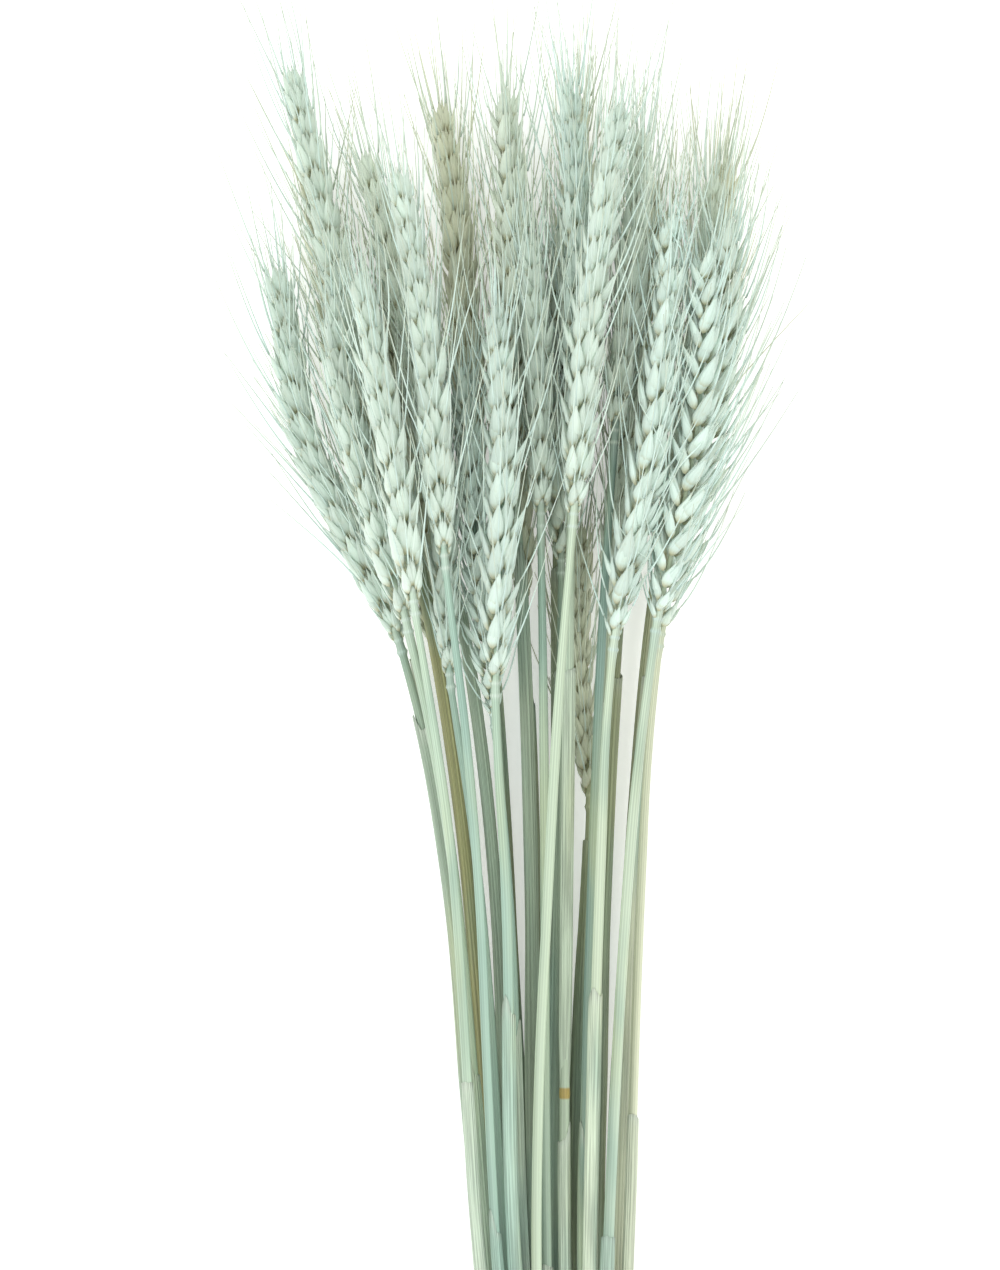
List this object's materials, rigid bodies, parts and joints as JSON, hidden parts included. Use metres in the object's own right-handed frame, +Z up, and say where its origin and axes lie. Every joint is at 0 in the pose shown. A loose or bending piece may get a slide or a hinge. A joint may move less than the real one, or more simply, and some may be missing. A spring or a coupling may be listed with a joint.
{
  "type": "bundle of dried wheat",
  "caption": "Bunch of dried bearded wheat, dyed pale grey-green, tied with twine near the cut ends and fanning out to the ears; lies flat on a surface.",
  "frame": {"origin": "on the surface that the bunch lies on, under the middle of its bounding box", "axes": "+Y from the cut ends to the tips of the ears, +Z up from the surface, +X to the right when looking down with the ears at the top"},
  "size_m": [0.1594, 0.5268, 0.0483],
  "materials": {
    "straw": "dry satin straw, dyed pale grey-green to yellow-green, finely ribbed along its length",
    "ear": "dry matt husks and awns, dyed pale mint, olive brown in the gaps between them",
    "twine": "natural jute twine, matt and a little hairy"
  },
  "bodies": {
    "root": {"straw_01": "straw", "ear_01": "ear", "straw_02": "straw", "ear_02": "ear", "straw_03": "straw", "ear_03": "ear", "straw_04": "straw", "ear_04": "ear", "straw_05": "straw", "ear_05": "ear", "straw_06": "straw", "ear_06": "ear", "straw_07": "straw", "ear_07": "ear", "straw_08": "straw", "ear_08": "ear", "straw_09": "straw", "ear_09": "ear", "straw_10": "straw", "ear_10": "ear", "straw_11": "straw", "ear_11": "ear", "straw_12": "straw", "ear_12": "ear", "straw_13": "straw", "ear_13": "ear", "straw_14": "straw", "ear_14": "ear", "straw_15": "straw", "ear_15": "ear", "straw_16": "straw", "ear_16": "ear", "straw_17": "straw", "ear_17": "ear", "straw_18": "straw", "ear_18": "ear", "straw_19": "straw", "ear_19": "ear", "straw_20": "straw", "ear_20": "ear", "straw_21": "straw", "ear_21": "ear", "straw_22": "straw", "ear_22": "ear", "straw_23": "straw", "ear_23": "ear", "straw_24": "straw", "ear_24": "ear", "straw_25": "straw", "ear_25": "ear", "straw_26": "straw", "ear_26": "ear", "straw_27": "straw", "ear_27": "ear", "straw_28": "straw", "ear_28": "ear", "tie_binding": "twine", "tie_knot": "twine"}
  },
  "joints": []
}
